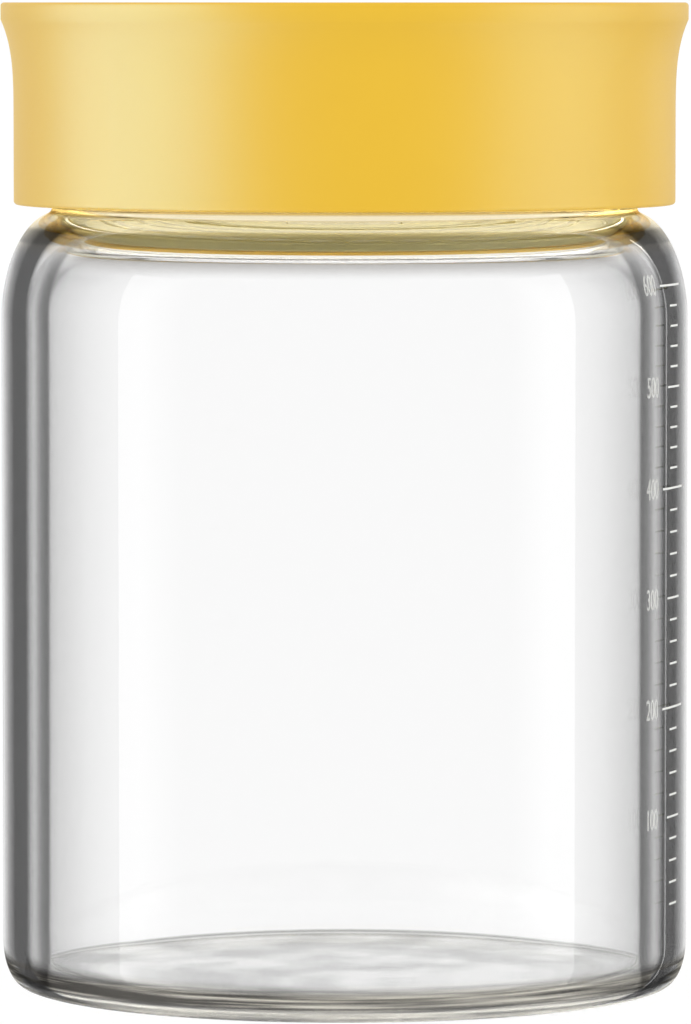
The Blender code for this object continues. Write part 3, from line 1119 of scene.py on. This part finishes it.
@dataclass
class ScrewLid:
    """The lid: a flared matte shell, the threaded cap snapped into it, and the seal ring."""

    jar: GlassJar
    low: float
    high: float
    skirt: float
    gap: float = 0.3 * MM
    wall: float = 1.8 * MM
    top_thickness: float = 2.0 * MM
    edge_round: float = 0.5 * MM
    foot_round: float = 0.2 * MM
    flare_width: float = 1.8 * MM
    flare_height: float = 14.5 * MM
    flare_band: float = 2.4 * MM
    flare_power: float = 3.6
    bead_depth: float = 0.7 * MM
    bead_height: float = 1.0 * MM
    bead_drop: float = 0.7 * MM
    rib_thickness: float = 1.2 * MM
    rib_reach: float = 30.0 * MM
    rib_count: int = 8
    cap_wall: float = 1.4 * MM
    cap_plate: float = 1.6 * MM
    cap_clearance: float = 0.4 * MM
    cap_round: float = 0.3 * MM
    plug_wall: float = 1.2 * MM
    plug_reach: float = 0.8 * MM
    flange: float = 1.4 * MM
    seal_thickness: float = 1.6 * MM
    seal_round: float = 0.35 * MM
    thread_first: float = math.radians(20)
    thread_turn: float = math.radians(160)
    steps: int = 240
    # The real lid's bright sides gain blue and green but hardly any red, so its gloss is tinted.
    shell_finish: MouldedPlastic = MouldedPlastic(
        "matte_yellow_polypropylene",
        colour="E9B815",
        shade="E6B30E",
        roughness=0.45,
        gloss_tint="8CF0FF",
    )
    # The cap's colour is darkened to a painted shade, for the dark inside of the lid.
    cap_finish: MouldedPlastic = MouldedPlastic(
        "pale_yellow_polypropylene", colour="CFC48C", shade="C8BC84", roughness=0.45
    )
    # The seal glows a little in its own colour: painted light, standing for what translucent silicone
    # passes on from its surroundings.
    seal_finish: MouldedPlastic = MouldedPlastic(
        "translucent_silicone", colour="E0DFD6", shade="D8D7CE", roughness=0.5, painted_glow=0.7
    )

    @property
    def bore(self) -> float:
        """Radius of the inner cap's bore."""
        return self.jar.neck_radius + self.jar.thread.depth + self.cap_clearance

    @property
    def seal_top(self) -> float:
        """Height of the seal's upper face."""
        return self.jar.rim_top + self.gap + self.seal_thickness

    @property
    def plate_low(self) -> float:
        """Height of the lower face of the inner cap's plate."""
        return self.seal_top + self.gap

    @property
    def bead_top(self) -> float:
        """Height of the upper edge of the shell's snap bead."""
        return self.low + self.bead_drop + self.bead_height

    @property
    def flare_start(self) -> float:
        """Height at which the side starts to flare."""
        return self.high - self.flare_band - self.flare_height

    def side(self, radius: float, high: float, steps: int) -> list[Point]:
        """Points up the side at an even spacing, from where its flare starts.

        Args:
            radius: The side's radius below its flare.
            high: Height of the last point.
            steps: Number of stretches.

        Returns:
            Radius and height of each point.
        """
        points = []
        for step in range(steps + 1):
            height = self.flare_start + (high - self.flare_start) * step / steps
            share = min(max((height - self.flare_start) / self.flare_height, 0.0), 1.0)
            points.append((radius + self.flare_width * share**self.flare_power, height))
        return points

    def shell_profile(self) -> list[Point]:
        """Profile of the shell from the top's centre down the outside and up the inside.

        Returns:
            Radius and height of each point.
        """
        top = self.skirt + self.flare_width - self.edge_round
        radii = (self.edge_round, self.edge_round)
        inner = self.skirt - self.wall
        points = straight((0.0, self.high), (top, self.high), steps=10)
        points += arc((top, self.high - self.edge_round), radii, QUARTER, 0, steps=5)
        points += self.side(self.skirt, self.high - self.flare_band, steps=24)[::-1]
        lower = (self.skirt - self.edge_round, self.low + self.edge_round)
        points += arc(lower, radii, 0, -QUARTER, steps=5)
        foot = (inner + self.foot_round, self.low + self.foot_round)
        points += arc(foot, (self.foot_round, self.foot_round), -QUARTER, -math.pi, steps=3)
        bead = (inner, self.bead_top - self.bead_height / 2)
        bead_radii = (self.bead_depth, self.bead_height / 2)
        points += arc(bead, bead_radii, -QUARTER, -3 * QUARTER, steps=8)
        points += self.side(inner, self.high - self.top_thickness, steps=16)
        points += straight(points[-1], (0.0, self.high - self.top_thickness), steps=6)
        return points

    def flat_rib(self) -> Piece:
        """Models one rib along +X, from the shell's wall towards the axis.

        Returns:
            The rib, in the place of an unturned one.
        """
        low = self.plate_low + self.cap_plate + self.gap
        high = self.high - self.top_thickness / 2
        length = self.skirt - self.wall / 2 - self.rib_reach
        bpy.ops.object.select_all(action="DESELECT")
        bpy.ops.mesh.primitive_cube_add(
            size=1.0,
            location=(self.rib_reach + length / 2, 0, (low + high) / 2),
            scale=(length, self.rib_thickness, high - low),
        )
        bpy.ops.object.transform_apply(location=True, rotation=True, scale=True)
        return bpy.context.active_object

    def build_shell(self, plastic: Material) -> Piece:
        """Models and dresses the outer shell, with its ribs.

        Args:
            plastic: The shell's material.

        Returns:
            The shell.
        """
        shell = lathe("lid_cover", self.shell_profile(), self.steps)
        first_rib = self.flat_rib()
        for number in range(self.rib_count):
            rib = copy_of(first_rib)
            rib.rotation_euler.z = math.tau * (number + 0.5) / self.rib_count
            union = shell.modifiers.new("rib", "BOOLEAN")
            union.operation = "UNION"
            union.object = rib
            bpy.context.view_layer.objects.active = shell
            bpy.ops.object.modifier_apply(modifier=union.name)
            bpy.data.objects.remove(rib, do_unlink=True)
        bpy.data.objects.remove(first_rib, do_unlink=True)
        dress(shell, plastic, "lid")
        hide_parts("lid_shell")
        return shell

    def cap_profile(self) -> list[Point]:
        """Profile of the inner cap from its top's centre down the outside and up the bore.

        Returns:
            Radius and height of each point, with enough rows in the bore for its thread.
        """
        outer = self.bore + self.cap_wall
        flange_radius = outer + self.cap_clearance
        bottom = self.bead_top + self.gap
        top = self.plate_low + self.cap_plate
        plug = self.jar.neck_radius - self.jar.wall - self.gap
        plug_low = self.jar.rim_top - self.plug_reach
        edge = self.cap_round
        radii = (edge, edge)
        points = [(0.0, top)]
        points += arc((outer - edge, top - edge), radii, QUARTER, 0, steps=3)
        points += [(outer, bottom + self.flange)]
        points += arc((flange_radius - edge, bottom + self.flange - edge), radii, QUARTER, 0, steps=3)
        points += arc((flange_radius - edge, bottom + edge), radii, 0, -QUARTER, steps=3)
        points += [(self.bore + edge, bottom)]
        points += straight((self.bore, bottom + edge), (self.bore, self.plate_low), steps=54)
        points += [(plug, self.plate_low), (plug, plug_low + edge), (plug - edge, plug_low)]
        points += [(plug - self.plug_wall, plug_low), (plug - self.plug_wall, self.plate_low)]
        points += straight(points[-1], (0.0, self.plate_low), steps=6)
        return points

    def build_cap(self, plastic: Material) -> Piece:
        """Models and dresses the threaded inner cap.

        Args:
            plastic: The cap's material.

        Returns:
            The cap.
        """
        cap = lathe("lid_insert", self.cap_profile(), self.steps)
        thread = self.jar.thread
        lane = thread.lead / thread.starts / 2
        foot = self.jar.rim_top - self.jar.thread_drop - lane
        foot += thread.lead * self.thread_first / math.tau
        thread.raise_on(cap, self.bore, WallSide.BORE, foot, self.thread_first, self.thread_turn)
        dress(cap, plastic, "lid")
        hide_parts("lid_inner_cap")
        return cap

    def build_seal(self, silicone: Material) -> Piece:
        """Models and dresses the seal ring, with rounded edges.

        Args:
            silicone: The seal's material.

        Returns:
            The seal.
        """
        edge = self.seal_round
        inner = self.jar.neck_radius - self.jar.wall + edge
        outer = self.bore - self.gap - edge
        low = self.jar.rim_top + self.gap + edge
        high = self.seal_top - edge
        corners = ((outer, high), (outer, low), (inner, low), (inner, high))
        profile = []
        for number, corner in enumerate(corners):
            start = QUARTER * (1 - number)
            profile += arc(corner, (edge, edge), start, start - QUARTER, steps=4)
        profile.append(profile[0])
        seal = lathe("lid_seal", profile, self.steps)
        dress(seal, silicone, "seal")
        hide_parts("seal_ring")
        return seal

    def build(self) -> list[Piece]:
        """Models and dresses the three pieces of the lid.

        Returns:
            The shell, the inner cap and the seal.
        """
        shell = self.build_shell(self.shell_finish.build())
        cap = self.build_cap(self.cap_finish.build())
        return [shell, cap, self.build_seal(self.seal_finish.build())]


def beside_jar(degrees: float, distance: float, height: float) -> Place:
    """A place beside the jar, at an angle off the front towards +X."""
    angle = math.radians(degrees)
    return (distance * math.sin(angle), -distance * math.cos(angle), height)


@dataclass(frozen=True)
class Softbox:
    """A soft rectangular lamp that faces the jar, in watts and metres.

    One that is only gloss shows in reflections alone, as a strip light behind a flag does.
    """

    name: str
    place: Place
    size: Point
    power: float
    only_gloss: bool = False

    def build(self, target: Place) -> Piece:
        """Hangs the lamp.

        Args:
            target: The place that it faces.

        Returns:
            The lamp.
        """
        data = bpy.data.lights.new(self.name, "AREA")
        data.shape = "RECTANGLE"
        data.size, data.size_y = self.size
        data.energy = self.power
        data.cycles.use_multiple_importance_sampling = False
        lamp = bpy.data.objects.new(self.name, data)
        lamp.location = self.place
        aim = Vector(target) - Vector(self.place)
        lamp.rotation_euler = aim.to_track_quat("-Z", "Y").to_euler()
        lamp.visible_camera = False
        lamp.visible_transmission = False
        lamp.visible_diffuse = not self.only_gloss
        lamp.visible_glossy = self.only_gloss
        bpy.context.scene.collection.objects.link(lamp)
        return lamp


@dataclass(frozen=True)
class FeatheredPanel:
    """A glowing panel beside the jar that only its reflections show.

    Its glow falls from its bright side to the surround's own at the other side.
    """

    name: str
    degrees: float
    bright_side: BrightSide
    glow: float
    size: Point = (0.5, 1.1)
    distance: float = 1.1
    height: float = 0.05

    def build(self) -> None:
        """Stands the panel in its place."""
        bpy.ops.object.select_all(action="DESELECT")
        bpy.ops.mesh.primitive_plane_add(
            size=1.0,
            location=beside_jar(self.degrees, self.distance, self.height),
            rotation=(QUARTER, 0, math.radians(self.degrees)),
        )
        panel = bpy.context.active_object
        panel.name = self.name
        panel.scale = (*self.size, 1.0)
        material, tree = new_material(f"{self.name}_glow")
        coordinates = add_node(tree, "ShaderNodeTexCoord").outputs["Object"]
        across = add_node(tree, "ShaderNodeSeparateXYZ", {"Vector": coordinates}).outputs["X"]
        edge = self.bright_side.value / 2
        ends = {"Value": across, "From Min": -edge, "From Max": edge, "To Min": 1.0, "To Max": self.glow}
        strength = add_node(tree, "ShaderNodeMapRange", ends)
        shine = add_node(tree, "ShaderNodeEmission", {"Strength": strength})
        add_node(tree, "ShaderNodeOutputMaterial", {"Surface": shine})
        panel.data.materials.append(material)
        panel.visible_camera = False
        panel.visible_diffuse = False
        panel.visible_transmission = False
        panel.visible_shadow = False


@dataclass
class Studio:
    """A pale floor, a white surround, soft lamps and the camera."""

    eye_height: float
    distance: float = 1.1
    focal_pixels: float = 7717.0
    frame_height: float = 1024.0
    sensor: float = 36.0
    clip: Point = (0.01, 200.0)
    eye_row: float = 3.5
    side_step: float = 0.13 * MM
    floor_size: float = 60.0
    floor_drop: float = 0.02 * MM
    floor_tone: str = "F2F2F0"
    floor_glow: float = 1.04
    floor_glow_share: float = 0.86
    fill: float = 0.92
    backdrop: float = 1.0
    bounces: int = 32
    # The key lights the front. The strips and the panels show only in reflections: they give the
    # lid its pale sides and the glass its bright upright lines.
    key: Softbox = Softbox("key", place=(0.3, -1.7, 0.8), size=(1.4, 1.0), power=7.0)
    strips: tuple[Softbox, ...] = (
        Softbox("left_strip", beside_jar(-76, 1.1, 0.0), size=(1.4, 2.6), power=82.0, only_gloss=True),
        Softbox("right_strip", beside_jar(77, 1.1, 0.0), size=(1.0, 2.6), power=26.0, only_gloss=True),
    )
    panels: tuple[FeatheredPanel, ...] = (
        FeatheredPanel("left_panel", -66.5, BrightSide.LEFT, glow=2.6),
        FeatheredPanel("right_panel", 68.5, BrightSide.RIGHT, glow=3.0),
        FeatheredPanel("rear_strip", 134.5, BrightSide.RIGHT, glow=18.0, size=(0.03, 1.1)),
    )

    def build_camera(self) -> None:
        """Puts the camera level with the lid's top, tilted down to centre the frame."""
        data = bpy.data.cameras.new("camera")
        data.sensor_width = self.sensor
        data.lens = self.focal_pixels * self.sensor / self.frame_height
        data.clip_start, data.clip_end = self.clip
        camera = bpy.data.objects.new("camera", data)
        tilt = math.asin((self.frame_height / 2 - self.eye_row) / self.focal_pixels)
        camera.location = (self.side_step, -self.distance, self.eye_height)
        camera.rotation_euler = (QUARTER - tilt, 0, 0)
        bpy.context.scene.collection.objects.link(camera)
        bpy.context.scene.camera = camera

    def seen_directly(self, tree: Tree) -> Node:
        """Tells which rays come from the camera, a reflection or through glass.

        Args:
            tree: The node tree of the world or a material.

        Returns:
            The node that gives 1 for such a ray.
        """
        path = add_node(tree, "ShaderNodeLightPath").outputs
        rays = {0: path["Is Camera Ray"], 1: path["Is Glossy Ray"]}
        either = add_node(tree, "ShaderNodeMath", rays, operation="MAXIMUM")
        rays = {0: either, 1: path["Is Transmission Ray"]}
        return add_node(tree, "ShaderNodeMath", rays, operation="MAXIMUM")

    def build_world(self) -> None:
        """White to the camera, in reflections and through glass, and a soft fill elsewhere."""
        world = bpy.data.worlds.new("surround")
        world.use_nodes = True
        tree = world.node_tree
        tree.nodes.clear()
        fill, white = (
            add_node(tree, "ShaderNodeBackground", {"Color": linear(WHITE), "Strength": strength})
            for strength in (self.fill, self.backdrop)
        )
        mix = add_node(tree, "ShaderNodeMixShader", {0: self.seen_directly(tree), 1: fill, 2: white})
        add_node(tree, "ShaderNodeOutputWorld", {"Surface": mix})
        bpy.context.scene.world = world

    def build_floor(self) -> Piece:
        """Lays a pale floor that shows white and keeps a light shadow of the jar.

        Returns:
            The floor.
        """
        bpy.ops.object.select_all(action="DESELECT")
        bpy.ops.mesh.primitive_plane_add(size=self.floor_size, location=(0, 0, -self.floor_drop))
        floor = bpy.context.active_object
        floor.name = "studio_floor"
        material, tree = new_material("pale_floor")
        pale = add_node(tree, "ShaderNodeBsdfDiffuse", {"Color": linear(self.floor_tone)})
        glow = {"Color": linear(WHITE), "Strength": self.floor_glow}
        shine = add_node(tree, "ShaderNodeEmission", glow)
        parts = {0: self.seen_directly(tree), 1: self.floor_glow_share}
        share = add_node(tree, "ShaderNodeMath", parts, operation="MULTIPLY")
        mix = add_node(tree, "ShaderNodeMixShader", {0: share, 1: pale, 2: shine})
        glossy = add_node(tree, "ShaderNodeLightPath").outputs["Is Glossy Ray"]
        clear = add_node(tree, "ShaderNodeBsdfTransparent")
        open_below = add_node(tree, "ShaderNodeMixShader", {0: glossy, 1: mix, 2: clear})
        add_node(tree, "ShaderNodeOutputMaterial", {"Surface": open_below})
        floor.data.materials.append(material)
        return floor

    def shine_past(self, lamp: Piece, floor: Piece) -> None:
        """Lets the lower half of a tall lamp shine past the floor, as with a jar on a stand.

        Args:
            lamp: The lamp.
            floor: The floor that no longer blocks it.
        """
        blockers = bpy.data.collections.new(f"{lamp.name}_blockers")
        blockers.objects.link(floor)
        lamp.light_linking.blocker_collection = blockers
        blockers.collection_objects[0].light_linking.link_state = "EXCLUDE"

    def build(self) -> None:
        """Sets up the whole studio."""
        scene = bpy.context.scene
        scene.view_settings.view_transform = "Standard"
        scene.cycles.max_bounces = self.bounces
        scene.cycles.glossy_bounces = self.bounces
        scene.cycles.transmission_bounces = self.bounces
        scene.cycles.transparent_max_bounces = self.bounces
        self.build_camera()
        self.build_world()
        floor = self.build_floor()
        target = (0, 0, self.eye_height / 2)
        self.key.build(target)
        for lamp in [strip.build(target) for strip in self.strips]:
            self.shine_past(lamp, floor)
        for panel in self.panels:
            panel.build()


def main() -> None:
    """Loads the frame and builds the jar, its scale, its lid and the studio."""
    logging.basicConfig(level=logging.INFO, format="%(name)s: %(message)s")
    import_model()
    jar_low, jar_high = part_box("glass_jar")
    shell_low, shell_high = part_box("lid_shell")
    jar = GlassJar(radius=(jar_high.x - jar_low.x) / 2, rim_top=jar_high.z)
    skirt = (shell_high.x - shell_low.x) / 2 - ScrewLid.flare_width
    lid = ScrewLid(jar, low=shell_low.z, high=shell_high.z, skirt=skirt)
    for piece in [jar.build(), *PrintedScale(jar).build(), *lid.build()]:
        LOG.info("%s: %d faces", piece.name, len(piece.data.polygons))
    Studio(eye_height=shell_high.z).build()


if __name__ == "__main__":
    main()
